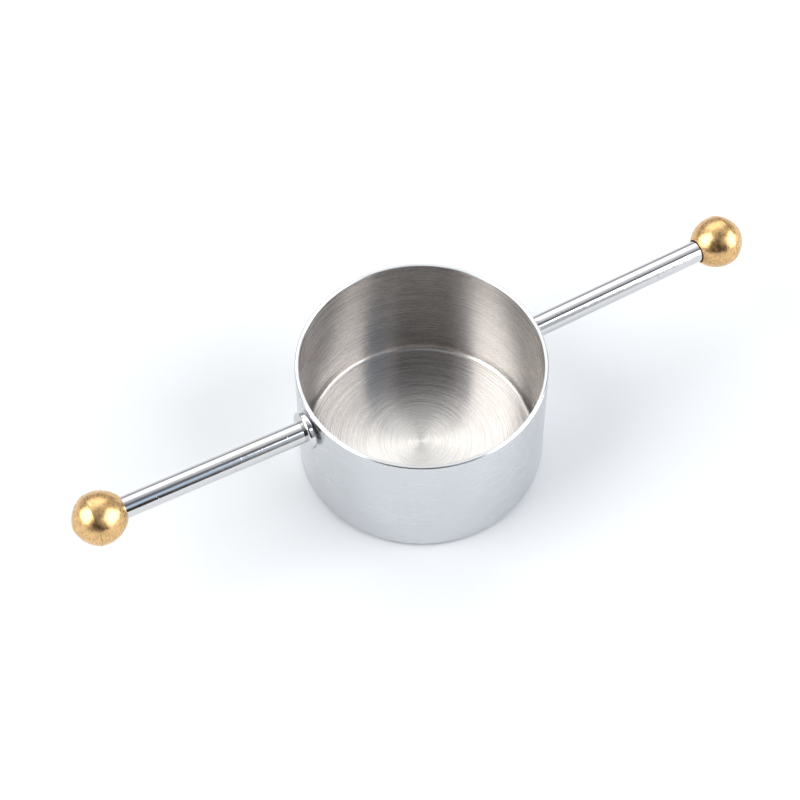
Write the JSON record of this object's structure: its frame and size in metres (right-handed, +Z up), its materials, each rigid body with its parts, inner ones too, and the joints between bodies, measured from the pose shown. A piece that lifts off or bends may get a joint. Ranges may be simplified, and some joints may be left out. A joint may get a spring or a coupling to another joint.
{
  "type": "bar jigger",
  "caption": "Straight-walled steel measuring cup with opposed round handles ending in brass ball knobs; one handle is welded on, the other turns on a stud.",
  "frame": {"origin": "centre of the cup's underside, which is the bottom centre of the whole object's box", "axes": "+X along the handles towards the welded one, +Z up through the cup's mouth"},
  "size_m": [0.1598, 0.0532, 0.0316],
  "materials": {
    "satin_steel": "satin outside, turned and brushed inside, polished rim",
    "polished_steel": "polished",
    "brass": "satin polished"
  },
  "bodies": {
    "cup_body": {"cup": "satin_steel", "fixed_handle_rod": "polished_steel", "fixed_handle_knob": "brass", "pivot_stud": "polished_steel"},
    "swivel_handle": {"collar_bush": "polished_steel", "swivel_handle_rod": "polished_steel", "swivel_handle_knob": "brass"}
  },
  "joints": [
    {"name": "handle_swivel", "type": "hinge", "parent": "cup_body", "child": "swivel_handle", "pos_m": [-0.0266, 0, 0.02435], "axis": [-0.9994, 0, 0.0349], "continuous": true}
  ]
}
